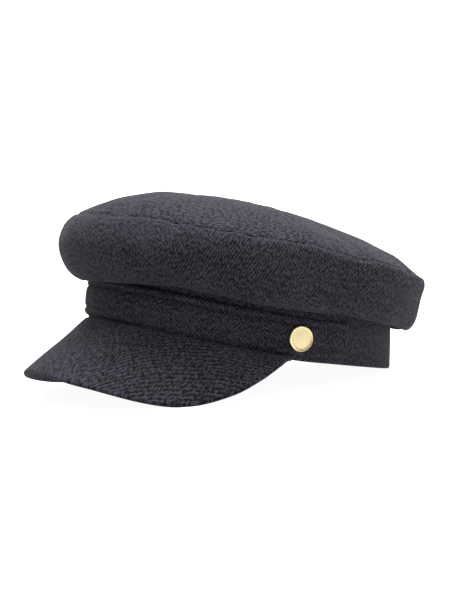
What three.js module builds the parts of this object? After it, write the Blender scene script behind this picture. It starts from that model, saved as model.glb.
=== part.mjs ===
// A soft peaked cap of wool twill, in millimetres, +Z up, at rest on a flat surface.
// The peak points towards -Y and the wearer's left is +X.
// Angles run round the head from the middle of the front, in degrees, positive to the wearer's left.
import * as THREE from 'three';
import { mergeVertices } from 'three/addons/utils/BufferGeometryUtils.js';

// Driving dimensions: the head opening and the cloth
const HEAD_LENGTH = 204; // outside of the band, front to back
const HEAD_WIDTH = 168; // outside of the band, side to side
const CLOTH = 2; // wall of the band and the crown, cloth and interlining together
const GAP = 0.3; // between pieces that are sewn to each other
const SETTLE = 0.8; // how far the cloth flattens where it rests

// The band and the strap laid over its front
const BAND_HEIGHT = 34;
const FRONT_ARCH = 10.4; // rise of the band's lower edge over the peak
const BAND_LEAN = 3; // how far the band's upper edge leans in at the back
const STRAP_HEIGHT = 23;
const STRAP_CLOTH = 1.6;
const STRAP_LIFT = 3.5; // strap's lower edge over the band's lower edge
const STRAP_END = 110.5; // angle of the strap's two ends

// The crown
const CROWN_HEIGHT = 35; // top seam over the band's upper edge, at the side
const CROWN_PUFF = 25; // how far the crown stands out from the band
const FOLD_DROP = 9; // how far the crown hangs below the band's upper edge
const FOLD_OUT = 8; // lowest line of that fold, out from the band
const DOME_RISE = 25; // middle of the top over the seam round it
const PANEL_SEAM = 107; // angle of the seams between the side panel and the back panel, at the band
const SEAM_LEAN = 5; // how many degrees further forward those seams meet the top
const FOLD_MIDDLE = 0.5; // share of the way out and down to the fold at which it turns
const LOW_TURN = 0.75; // turn of the arc from the widest line at its point over the fold, in radians
const HIGH_OUT = 0.72; // share of the puff kept by the point between the widest line and the seam
const HIGH_RISE = 0.66; // height of that point between the two

// The peak
const PEAK_REACH = 38; // rim out from the band, at the front
const PEAK_DROP = 45; // rim below the strap
const PEAK_BOW = 1; // how far the peak bows up between the band and the rim
const PEAK_THICKNESS = 3.2;
const PEAK_END = 87; // angle where the peak runs out
const RIM_ROUND = 0.1; // share of the peak's length in which its rim is rounded
const RIM_BLUNT = 0.85; // how far the two sides come together at the rim, 1 where they meet

// The two buttons that hold the strap
const BUTTON_WIDTH = 16;
const BUTTON_THICKNESS = 2.2;
const BUTTON_RIM = 1.2; // width of the raised rim
const BUTTON_DISH = 0.35; // depth of the face inside the rim
const HALF_WAY_DISH = 0.6; // share of that depth half way to the middle
const MIDDLE_DISH = 0.5; // and in the middle
const BUTTON_EDGE = 0.5; // bevel of the button's two edges
const BUTTON_ANGLE = 90;
const BUTTON_DROP = 1.3; // below the strap's middle

// Fineness of the faceted cloth
const AROUND_STEP = 5; // degrees between sections
const STEPS_BETWEEN_KNOTS = 2; // in the crown's section
const TOP_RINGS = 9;
const BAND_STEPS = 4;
const PEAK_STEPS = 8;
const BUTTON_SIDES = 28;

// Shares of the sizes above, by angle from the front; both sides are alike.
// arch of FRONT_ARCH; lean of BAND_LEAN; fold of FOLD_DROP; seam and wide, heights in CROWN_HEIGHT;
// puff of CROWN_PUFF; neck, the seam's place in that puff; crest, how flat the top runs to its edge.
const CROWN_SECTIONS = [
  { angle: 0, arch: 1.0, lean: 0.0, fold: 1.1, seam: 0.87, wide: 0.33, puff: 0.99, neck: 0.53, crest: 3.2 },
  { angle: 25, arch: 0.86, lean: 0.0, fold: 0.84, seam: 0.93, wide: 0.37, puff: 0.98, neck: 0.55, crest: 3.2 },
  { angle: 45, arch: 0.63, lean: 0.0, fold: 0.45, seam: 0.96, wide: 0.43, puff: 0.94, neck: 0.6, crest: 3.0 },
  { angle: 60, arch: 0.39, lean: 0.0, fold: 0.41, seam: 0.96, wide: 0.48, puff: 0.88, neck: 0.65, crest: 2.8 },
  { angle: 75, arch: 0.19, lean: 0.0, fold: 0.53, seam: 1.0, wide: 0.51, puff: 0.84, neck: 0.7, crest: 2.6 },
  { angle: 90, arch: 0.0, lean: 0.1, fold: 0.38, seam: 1.0, wide: 0.54, puff: 0.8, neck: 0.74, crest: 2.4 },
  { angle: 105, arch: 0.0, lean: 0.3, fold: 0.34, seam: 0.9, wide: 0.52, puff: 0.76, neck: 0.76, crest: 2.3 },
  { angle: 120, arch: 0.0, lean: 0.5, fold: 0.56, seam: 0.86, wide: 0.5, puff: 0.72, neck: 0.78, crest: 2.2 },
  { angle: 150, arch: 0.0, lean: 0.9, fold: 0.87, seam: 0.73, wide: 0.47, puff: 0.63, neck: 0.77, crest: 2.1 },
  { angle: 180, arch: 0.0, lean: 1.0, fold: 0.93, seam: 0.69, wide: 0.46, puff: 0.6, neck: 0.75, crest: 2.1 },
];

// The peak's rim: share is the angle in PEAK_END, reach of PEAK_REACH and drop of PEAK_DROP.
const PEAK_SECTIONS = [
  { share: 0.0, reach: 1.0, drop: 0.9 },
  { share: 0.29, reach: 0.94, drop: 0.95 },
  { share: 0.52, reach: 0.81, drop: 1.0 },
  { share: 0.64, reach: 0.71, drop: 0.93 },
  { share: 0.78, reach: 0.56, drop: 0.68 },
  { share: 0.88, reach: 0.4, drop: 0.41 },
  { share: 0.95, reach: 0.24, drop: 0.2 },
  { share: 1.0, reach: 0.09, drop: 0.1 },
];

const CLOTH_COLOUR = 0x23252e;
const BRASS_COLOUR = 0xe3c98a;

// A smooth curve through one column of a table, level at both ends.
function along(table, key, column, at) {
  const place = Math.min(Math.max(at, table[0][key]), table.at(-1)[key]);
  const next = Math.max(1, table.findIndex((row) => row[key] >= place));
  const [before, from, to, after] = [-2, -1, 0, 1].map((step) => {
    const index = next + step;
    return table[index < 0 ? 1 : Math.min(index, table.length - 1)];
  });
  const span = to[key] - from[key];
  const t = (place - from[key]) / span;
  const slopeFrom = from === table[0] ? 0 : (to[column] - before[column]) / (to[key] - before[key]);
  const slopeTo = to === table.at(-1) ? 0 : (after[column] - from[column]) / (after[key] - from[key]);
  return (
    (2 * t ** 3 - 3 * t ** 2 + 1) * from[column] +
    (t ** 3 - 2 * t ** 2 + t) * span * slopeFrom +
    (3 * t ** 2 - 2 * t ** 3) * to[column] +
    (t ** 3 - t ** 2) * span * slopeTo
  );
}

const fromFront = (angle) => (Math.abs(angle) > 180 ? 360 - Math.abs(angle) : Math.abs(angle));
const crownAt = (column, angle) => along(CROWN_SECTIONS, 'angle', column, fromFront(angle));
const peakAt = (column, angle) => along(PEAK_SECTIONS, 'share', column, Math.abs(angle) / PEAK_END);

// A point of the head's oval at an angle, so far out from the band's outside, at a height.
function ovalPoint(angle, out, height) {
  const turn = THREE.MathUtils.degToRad(angle);
  const halfWidth = HEAD_WIDTH / 2;
  const halfLength = HEAD_LENGTH / 2;
  const outward = new THREE.Vector2(Math.sin(turn) / halfWidth, -Math.cos(turn) / halfLength).normalize();
  return new THREE.Vector3(
    halfWidth * Math.sin(turn) + outward.x * out,
    -halfLength * Math.cos(turn) + outward.y * out,
    height,
  );
}

// Heights round the band, over the band's lower edge at the side
const hemHeight = (angle) => FRONT_ARCH * crownAt('arch', angle);
const bandTop = (angle) => hemHeight(angle) + BAND_HEIGHT;
const bandLean = (angle) => BAND_LEAN * crownAt('lean', angle);
const strapFoot = (angle) => hemHeight(angle) + STRAP_LIFT;

// The peak's rim in its section: x is out from the band and y is the height.
function rimOf(angle) {
  const drop = PEAK_DROP * peakAt('drop', angle);
  return new THREE.Vector2(PEAK_REACH * peakAt('reach', angle), strapFoot(angle) - GAP - drop);
}

// The cap rests on the back of its hem and on the peak's two lowest stretches of rim.
function findRest() {
  const heel = ovalPoint(180, 0, hemHeight(180));
  let pitch = 0;
  for (let angle = 0; angle <= PEAK_END; angle += 1) {
    const rim = rimOf(angle);
    const point = ovalPoint(angle, rim.x, rim.y);
    pitch = Math.max(pitch, Math.atan2(heel.z - point.z, heel.y - point.y));
  }
  const lift = heel.y * Math.sin(pitch) - heel.z * Math.cos(pitch) - SETTLE;
  return { pitch, lift };
}
const REST = findRest();

// Flattens a point of cloth on the surface that the cap rests on.
function settled(point) {
  const surface = (point.y * Math.sin(REST.pitch) - REST.lift) / Math.cos(REST.pitch);
  point.z = Math.max(point.z, surface);
  return point;
}

function anglesBetween(first, last) {
  const count = Math.max(2, Math.ceil((last - first) / AROUND_STEP));
  return Array.from({ length: count + 1 }, (_, i) => first + ((last - first) * i) / count);
}

// Six times the volume inside a list of triangles, negative where they face inwards
function signedVolume(positions) {
  let sum = 0;
  const corner = (i) => new THREE.Vector3().fromArray(positions, i);
  for (let i = 0; i < positions.length; i += 9) {
    sum += corner(i).dot(corner(i + 3).cross(corner(i + 6)));
  }
  return sum;
}

function turnOver(positions) {
  for (let i = 0; i < positions.length; i += 9) {
    const second = positions.slice(i + 3, i + 6);
    positions.splice(i + 3, 6, ...positions.slice(i + 6, i + 9), ...second);
  }
}

// One closed wall between an outside and an inside grid of points.
// A grid is a list of rows of alike length, and its last row meets its first where it wraps.
function wall(outside, inside, wraps) {
  const positions = [];
  const same = (a, b) => a.distanceToSquared(b) < 1e-6;
  const face = (a, b, c) => {
    if (same(a, b) || same(b, c) || same(c, a)) return;
    for (const point of [a, b, c]) positions.push(point.x, point.y, point.z);
  };
  const quad = (a, b, c, d) => {
    face(a, b, c);
    face(a, c, d);
  };
  const rows = outside.length;
  const columns = outside[0].length;
  const strips = wraps ? rows : rows - 1;
  for (let i = 0; i < strips; i += 1) {
    const next = (i + 1) % rows;
    for (let j = 0; j < columns - 1; j += 1) {
      quad(outside[i][j], outside[next][j], outside[next][j + 1], outside[i][j + 1]);
      quad(inside[i][j], inside[i][j + 1], inside[next][j + 1], inside[next][j]);
    }
    const last = columns - 1;
    quad(outside[i][0], inside[i][0], inside[next][0], outside[next][0]);
    quad(outside[i][last], outside[next][last], inside[next][last], inside[i][last]);
  }
  if (!wraps) {
    for (let j = 0; j < columns - 1; j += 1) {
      const end = rows - 1;
      quad(outside[0][j], outside[0][j + 1], inside[0][j + 1], inside[0][j]);
      quad(outside[end][j], inside[end][j], inside[end][j + 1], outside[end][j + 1]);
    }
  }
  if (signedVolume(positions) < 0) turnOver(positions);
  const geometry = new THREE.BufferGeometry();
  geometry.setAttribute('position', new THREE.Float32BufferAttribute(positions, 3));
  const merged = mergeVertices(geometry, 1e-3);
  merged.computeVertexNormals();
  return merged;
}

// A section's middle line moved to one side by a distance.
function beside(line, distance) {
  return line.map((point, i) => {
    const before = line[Math.max(i - 1, 0)];
    const after = line[Math.min(i + 1, line.length - 1)];
    const ahead = after.clone().sub(before).normalize();
    return new THREE.Vector2(point.x + ahead.y * distance, point.y - ahead.x * distance);
  });
}

// The crown's side in its section, from the band's upper edge round the fold and up to the top seam.
function crownLine(angle) {
  const top = bandTop(angle);
  const start = top + GAP + CLOTH / 2;
  const fold = top - FOLD_DROP * crownAt('fold', angle) + CLOTH / 2;
  const widest = top + CROWN_HEIGHT * crownAt('wide', angle);
  const seam = top + CROWN_HEIGHT * crownAt('seam', angle);
  const puff = CROWN_PUFF * crownAt('puff', angle) - CLOTH / 2;
  const neck = CROWN_PUFF * crownAt('puff', angle) * crownAt('neck', angle);
  const low = puff - (puff - FOLD_OUT) * (1 - Math.sin(LOW_TURN));
  const knots = [
    new THREE.Vector2(-CLOTH - bandLean(angle), start),
    new THREE.Vector2(CLOTH / 2 - bandLean(angle), start),
    new THREE.Vector2(FOLD_OUT * FOLD_MIDDLE, start - (start - fold) * FOLD_MIDDLE),
    new THREE.Vector2(FOLD_OUT, fold),
    new THREE.Vector2(low, widest - (widest - fold) * Math.cos(LOW_TURN)),
    new THREE.Vector2(puff, widest),
    new THREE.Vector2(neck + (puff - neck) * HIGH_OUT, widest + (seam - widest) * HIGH_RISE),
    new THREE.Vector2(neck, seam),
  ];
  return new THREE.SplineCurve(knots).getPoints(STEPS_BETWEEN_KNOTS * (knots.length - 1));
}

// Angles across a panel at a share of the way up its seams, which lean forwards from the band.
function panelAngles(first, last, share) {
  const lean = SEAM_LEAN * share;
  const isBack = last > 180;
  return anglesBetween(first, last).map((angle) => {
    const across = (2 * (angle - first)) / (last - first) - 1;
    return angle + across * (isBack ? lean : -lean);
  });
}

function crownPanel(first, last) {
  const steps = crownLine(0).length;
  const columns = Array.from({ length: steps }, (_, j) => panelAngles(first, last, j / (steps - 1)));
  const side = (distance) => columns[0].map((_, i) =>
    columns.map((angles, j) => {
      const point = beside(crownLine(angles[i]), distance)[j];
      return ovalPoint(angles[i], point.x, point.y);
    }));
  return wall(side(CLOTH / 2), side(-CLOTH / 2), false);
}

// The top panel rises from the seam round it to a soft dome, and its edge meets the side's edge.
function crownTop() {
  const angles = anglesBetween(-180, 180).slice(0, -1);
  const edge = angles.map((angle) => {
    const end = crownLine(angle).at(-1);
    return ovalPoint(angle, end.x, end.y + CLOTH / 2 + GAP);
  });
  const front = edge[edge.length / 2];
  const back = edge[0];
  const middle = new THREE.Vector3(0, (front.y + back.y) / 2, (front.z + back.z) / 2);
  const ring = (share, depth) => edge.map((point, i) => {
    const crest = crownAt('crest', angles[i]);
    const spot = middle.clone().lerp(point, share);
    spot.z += DOME_RISE * (1 - share ** crest) + depth;
    return spot;
  });
  const shares = Array.from({ length: TOP_RINGS + 1 }, (_, i) => Math.sin((i / TOP_RINGS) * Math.PI / 2));
  const across = (grid) => angles.map((_, i) => grid.map((row) => row[i]));
  const outside = across(shares.map((share) => ring(share, CLOTH)));
  const inside = across(shares.map((share) => ring(share, 0)));
  return wall(outside, inside, true);
}

function band() {
  const angles = anglesBetween(-180, 180).slice(0, -1);
  const side = (out) => angles.map((angle) =>
    Array.from({ length: BAND_STEPS + 1 }, (_, j) => {
      const share = j / BAND_STEPS;
      const height = hemHeight(angle) + BAND_HEIGHT * share;
      return settled(ovalPoint(angle, out - bandLean(angle) * share, height));
    }));
  return wall(side(0), side(-CLOTH), true);
}

function strap() {
  const angles = anglesBetween(-STRAP_END, STRAP_END);
  const side = (out) => angles.map((angle) =>
    [0, 1].map((share) => {
      const height = STRAP_LIFT + STRAP_HEIGHT * share;
      const lean = (bandLean(angle) * height) / BAND_HEIGHT;
      return ovalPoint(angle, out - lean, hemHeight(angle) + height);
    }));
  return wall(side(GAP + STRAP_CLOTH), side(GAP), false);
}

// The peak's section: its upper side bows from under the strap down to the rim.
function peak() {
  const shares = Array.from({ length: PEAK_STEPS }, (_, i) => (1 - RIM_ROUND) * (i / (PEAK_STEPS - 1)));
  shares.push(1 - RIM_ROUND / 3, 1);
  const angles = anglesBetween(-PEAK_END, PEAK_END);
  const side = (isUpper) => angles.map((angle) => {
    const start = new THREE.Vector2(GAP, strapFoot(angle) - GAP);
    const rim = rimOf(angle);
    const fall = rim.clone().sub(start);
    const up = new THREE.Vector2(-fall.y, fall.x).normalize();
    const end = rim.clone().addScaledVector(up, PEAK_THICKNESS);
    const bow = PEAK_BOW * Math.min(1, fall.length() / PEAK_REACH);
    return shares.map((share) => {
      const rounding = Math.max(0, (share - 1 + RIM_ROUND) / RIM_ROUND);
      const half = (PEAK_THICKNESS / 2) * Math.sqrt(1 - RIM_BLUNT * rounding ** 2);
      const through = share === 0 ? new THREE.Vector2(0, 1) : up;
      const point = start.clone().lerp(end, share);
      point.addScaledVector(up, bow * 4 * share * (1 - share));
      point.addScaledVector(through, -PEAK_THICKNESS / 2 + (isUpper ? half : -half));
      return settled(ovalPoint(angle, Math.max(point.x, GAP), point.y));
    });
  });
  return wall(side(true), side(false), false);
}

// A flat-backed button with a raised rim and a slightly dished face.
function button() {
  const radius = BUTTON_WIDTH / 2;
  const profile = [
    [0, 0],
    [radius - BUTTON_EDGE, 0],
    [radius, BUTTON_EDGE],
    [radius, BUTTON_THICKNESS - BUTTON_EDGE],
    [radius - BUTTON_RIM / 2, BUTTON_THICKNESS],
    [radius - BUTTON_RIM, BUTTON_THICKNESS - BUTTON_DISH],
    [radius / 2, BUTTON_THICKNESS - BUTTON_DISH * HALF_WAY_DISH],
    [0, BUTTON_THICKNESS - BUTTON_DISH * MIDDLE_DISH],
  ].map(([x, y]) => new THREE.Vector2(x, y));
  return new THREE.LatheGeometry(profile, BUTTON_SIDES);
}

// Materials by piece, so that each can be told apart and finished by itself
const cloth = () => new THREE.MeshStandardMaterial({ color: CLOTH_COLOUR, roughness: 0.95, metalness: 0 });
const brass = () => new THREE.MeshStandardMaterial({ color: BRASS_COLOUR, roughness: 0.3, metalness: 1 });

function piece(name, geometry, material) {
  const mesh = new THREE.Mesh(geometry, material);
  mesh.name = name;
  return mesh;
}

const SEAM_GAP = THREE.MathUtils.radToDeg(GAP / HEAD_WIDTH); // half the gap at a panel seam, as an angle

const cap = new THREE.Group();
cap.add(
  piece('crown_top', crownTop(), cloth()),
  piece('crown_side', crownPanel(-PANEL_SEAM + SEAM_GAP, PANEL_SEAM - SEAM_GAP), cloth()),
  piece('crown_back', crownPanel(PANEL_SEAM + SEAM_GAP, 360 - PANEL_SEAM - SEAM_GAP), cloth()),
  piece('band', band(), cloth()),
  piece('strap', strap(), cloth()),
  piece('peak', peak(), cloth()),
);

for (const [name, sideways] of [['button_left', 1], ['button_right', -1]]) {
  const mesh = piece(name, button(), brass());
  const angle = BUTTON_ANGLE * sideways;
  const seat = GAP + STRAP_CLOTH + GAP;
  const height = strapFoot(angle) + STRAP_HEIGHT / 2 - BUTTON_DROP;
  const base = ovalPoint(angle, seat, height);
  const outward = ovalPoint(angle, seat + 1, height).sub(base);
  mesh.position.copy(base);
  mesh.quaternion.setFromUnitVectors(new THREE.Vector3(0, 1, 0), outward);
  cap.add(mesh);
}

// Laid down at rest, with the origin on the surface under the middle of the cap
cap.rotation.x = -REST.pitch;
cap.position.z = REST.lift;
const part = new THREE.Group();
part.add(cap);
part.updateMatrixWorld(true);
cap.position.y = -new THREE.Box3().setFromObject(part, true).getCenter(new THREE.Vector3()).y;
part.updateMatrixWorld(true);

export default part;
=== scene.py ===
import math

import bpy
import numpy as np
from mathutils import Matrix, Vector, noise


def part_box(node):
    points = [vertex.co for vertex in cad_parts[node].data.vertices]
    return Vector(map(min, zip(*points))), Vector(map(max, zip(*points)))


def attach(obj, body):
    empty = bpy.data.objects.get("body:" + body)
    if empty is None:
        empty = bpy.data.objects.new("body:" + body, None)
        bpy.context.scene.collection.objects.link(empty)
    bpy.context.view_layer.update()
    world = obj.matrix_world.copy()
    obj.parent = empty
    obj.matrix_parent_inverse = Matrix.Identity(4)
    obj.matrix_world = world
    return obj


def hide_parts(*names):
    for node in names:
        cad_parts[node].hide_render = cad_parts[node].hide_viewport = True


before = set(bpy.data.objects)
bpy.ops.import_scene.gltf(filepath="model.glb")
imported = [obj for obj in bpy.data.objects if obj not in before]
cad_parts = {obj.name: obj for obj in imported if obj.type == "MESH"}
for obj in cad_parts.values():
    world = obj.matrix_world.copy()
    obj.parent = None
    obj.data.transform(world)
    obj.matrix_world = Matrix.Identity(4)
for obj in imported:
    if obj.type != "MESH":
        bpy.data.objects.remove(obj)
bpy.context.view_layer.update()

MM = 0.001


# The head band
# A stiffened strip of wool twill, joined into an oval round the head.
# Its lower edge is folded under, and rises over the peak at the front.
HEAD_LENGTH = 204 * MM
HEAD_WIDTH = 168 * MM
CLOTH = 2 * MM
BAND_HEIGHT = 34 * MM
FRONT_ARCH = 10.4 * MM
BAND_LEAN = 3 * MM
HEM_ROUND = 1.0 * MM
HEM_DRAWN_IN = 0.6 * MM
BAND_SWELL = 0.45 * MM
BAND_SWELL_SIZE = 34 * MM
SWELL_FROM = 108  # degrees from the front, where the strap is about to end
SWELL_EASE = 25

# Shares of the cap's sizes by angle from the front, alike on both sides: arch of FRONT_ARCH,
# lean of BAND_LEAN, fold of FOLD_DROP, seam and wide of CROWN_HEIGHT, puff of CROWN_PUFF,
# neck of that puff, and crest, how flat the top runs to its edge.
CAP_SECTIONS = [
    dict(angle=0, arch=1.0, lean=0.0, fold=1.1, seam=0.87, wide=0.33, puff=0.99, neck=0.53, crest=3.2),
    dict(angle=25, arch=0.86, lean=0.0, fold=0.84, seam=0.93, wide=0.37, puff=0.98, neck=0.55, crest=3.2),
    dict(angle=45, arch=0.63, lean=0.0, fold=0.45, seam=0.96, wide=0.43, puff=0.94, neck=0.6, crest=3.0),
    dict(angle=60, arch=0.39, lean=0.0, fold=0.41, seam=0.96, wide=0.48, puff=0.88, neck=0.65, crest=2.8),
    dict(angle=75, arch=0.19, lean=0.0, fold=0.53, seam=1.0, wide=0.51, puff=0.84, neck=0.7, crest=2.6),
    dict(angle=90, arch=0.0, lean=0.1, fold=0.38, seam=1.0, wide=0.54, puff=0.8, neck=0.74, crest=2.4),
    dict(angle=105, arch=0.0, lean=0.3, fold=0.34, seam=0.9, wide=0.52, puff=0.76, neck=0.76, crest=2.3),
    dict(angle=120, arch=0.0, lean=0.5, fold=0.56, seam=0.86, wide=0.5, puff=0.72, neck=0.78, crest=2.2),
    dict(angle=150, arch=0.0, lean=0.9, fold=0.87, seam=0.73, wide=0.47, puff=0.63, neck=0.77, crest=2.1),
    dict(angle=180, arch=0.0, lean=1.0, fold=0.93, seam=0.69, wide=0.46, puff=0.6, neck=0.75, crest=2.1),
]


def along(table, key, column, at):
    """A smooth curve through one column of a table, level at both ends."""
    keys = np.array([row[key] for row in table], float)
    values = np.array([row[column] for row in table], float)
    slopes = np.zeros(len(keys))
    slopes[1:-1] = (values[2:] - values[:-2]) / (keys[2:] - keys[:-2])
    at = np.clip(at, keys[0], keys[-1])
    i = np.clip(np.searchsorted(keys, at) - 1, 0, len(keys) - 2)
    span = keys[i + 1] - keys[i]
    t = (at - keys[i]) / span
    return (
        (2 * t**3 - 3 * t**2 + 1) * values[i]
        + (t**3 - 2 * t**2 + t) * span * slopes[i]
        + (3 * t**2 - 2 * t**3) * values[i + 1]
        + (t**3 - t**2) * span * slopes[i + 1]
    )


def cap_at(column, angle):
    """A share from the table at angles round the head, the same on both sides."""
    turned = np.abs((np.asarray(angle, float) + 180) % 360 - 180)
    return along(CAP_SECTIONS, "angle", column, turned)


def oval_point(angle, out, height):
    """Points round the head, so far out from the band's outside, at a height over its hem."""
    turn = np.radians(angle)
    outward = np.stack([np.sin(turn) / HEAD_WIDTH, -np.cos(turn) / HEAD_LENGTH], -1)
    outward /= np.linalg.norm(outward, axis=-1, keepdims=True)
    return np.stack(
        [
            HEAD_WIDTH / 2 * np.sin(turn) + outward[..., 0] * out,
            -HEAD_LENGTH / 2 * np.cos(turn) + outward[..., 1] * out,
            height + 0 * turn,
        ],
        -1,
    )


def hem_height(angle):
    """How high the band's lower edge stands, arched over the peak."""
    return FRONT_ARCH * cap_at("arch", angle)


def band_lean(angle):
    """How far the band leans in by its upper edge."""
    return BAND_LEAN * cap_at("lean", angle)


def ripple(points, size, depth, shift=0.0):
    """A smooth random rise and fall over a set of points, the same every time."""
    flat = points.reshape(-1, 3) / size + shift
    values = np.array([noise.noise(Vector(p)) for p in flat])
    return depth * values.reshape(points.shape[:-1])


def signed_volume(mesh):
    """A closed mesh's volume, less than nothing where its faces look inwards."""
    mesh.calc_loop_triangles()
    points = np.array([v.co for v in mesh.vertices])
    triangles = np.array([t.vertices for t in mesh.loop_triangles])
    a, b, c = (points[triangles[:, n]] for n in range(3))
    return float((a * np.cross(b, c)).sum() / 6)


def cloth_piece(name, outside, inside, cloth, material, wraps=False):
    """A closed sheet between two grids, with cloth, the grain's (across, up), as its UV map."""
    rows, columns = outside.shape[:2]
    points = np.concatenate([outside.reshape(-1, 3), inside.reshape(-1, 3)])
    back = rows * columns
    strips = rows if wraps else rows - 1
    squares = np.meshgrid(np.arange(strips), np.arange(columns - 1), indexing="ij")
    i, j = (square.ravel() for square in squares)
    k = (i + 1) % rows
    front = np.stack([i * columns + j, k * columns + j, k * columns + j + 1, i * columns + j + 1], 1)
    faces = [front, front[:, ::-1] + back]
    s = np.arange(strips)
    n = (s + 1) % rows
    for edge, turn in ((0, 1), (columns - 1, -1)):
        here = s * columns + edge
        ahead = n * columns + edge
        rim = np.stack([here, here + back, ahead + back, ahead], 1)
        faces.append(rim[:, ::turn])
    if not wraps:
        c = np.arange(columns - 1)
        for edge, turn in ((0, -1), (rows - 1, 1)):
            a = edge * columns + c
            faces.append(np.stack([a, a + back, a + 1 + back, a + 1], 1)[:, ::turn])
    faces = np.concatenate(faces)
    mesh = bpy.data.meshes.new(name)
    mesh.from_pydata(points.tolist(), [], faces.tolist())
    grain = np.concatenate([cloth.reshape(-1, 2), cloth.reshape(-1, 2)])
    uv = grain[faces]
    if wraps:
        # the last strip meets the first, so its far corners go one lap on
        lap = grain[:, 0].max() - grain[:, 0].min()
        last = uv[..., 0].max(1) - uv[..., 0].min(1) > lap / 2
        joined = uv[last]
        joined[..., 0] += np.where(joined[..., 0] < lap / 2, lap * rows / (rows - 1), 0)
        uv[last] = joined
    layer = mesh.uv_layers.new(name="cloth")
    layer.data.foreach_set("uv", uv.reshape(-1))
    mesh.polygons.foreach_set("use_smooth", [True] * len(mesh.polygons))
    mesh.materials.append(material)
    piece = bpy.data.objects.new(name, mesh)
    bpy.context.collection.objects.link(piece)
    if signed_volume(mesh) < 0:
        mesh.flip_normals()
    return piece


TWILL_STEP = 1.65 * MM
YARN_STEP = 0.55 * TWILL_STEP
RIB_SHARE = 0.72
RIB_WANDER = 5.0
WANDER_SIZE = 6 * MM
FIBRE_SIZE = 0.62 * MM
FIBRE_DRAWN = 0.3  # the pattern's scale along the fibres, so that they come out longer
CLUMP_SIZE = 0.95 * MM
CLUMP_DRAWN = 0.6
TUFT_SIZE = 2.4 * MM
CLOUD_SIZE = 22 * MM
# How much each adds to the fibres' own tone
TONE_SHARES = dict(weave=0.17, clumps=0.32, tufts=0.3, cloud=0.15)
# Tones at which the wool is dark, middling and pale
TONE_STOPS = (0.81, 0.96, 1.19)
WEAVE_RELIEF = 0.45
FIBRE_RELIEF = 0.8
NAP_HEIGHT = 0.4 * MM
DARK_WOOL = (0.0036, 0.0034, 0.0051)
MID_WOOL = (0.0068, 0.0065, 0.0093)
PALE_WOOL = (0.036, 0.0336, 0.0438)


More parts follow.
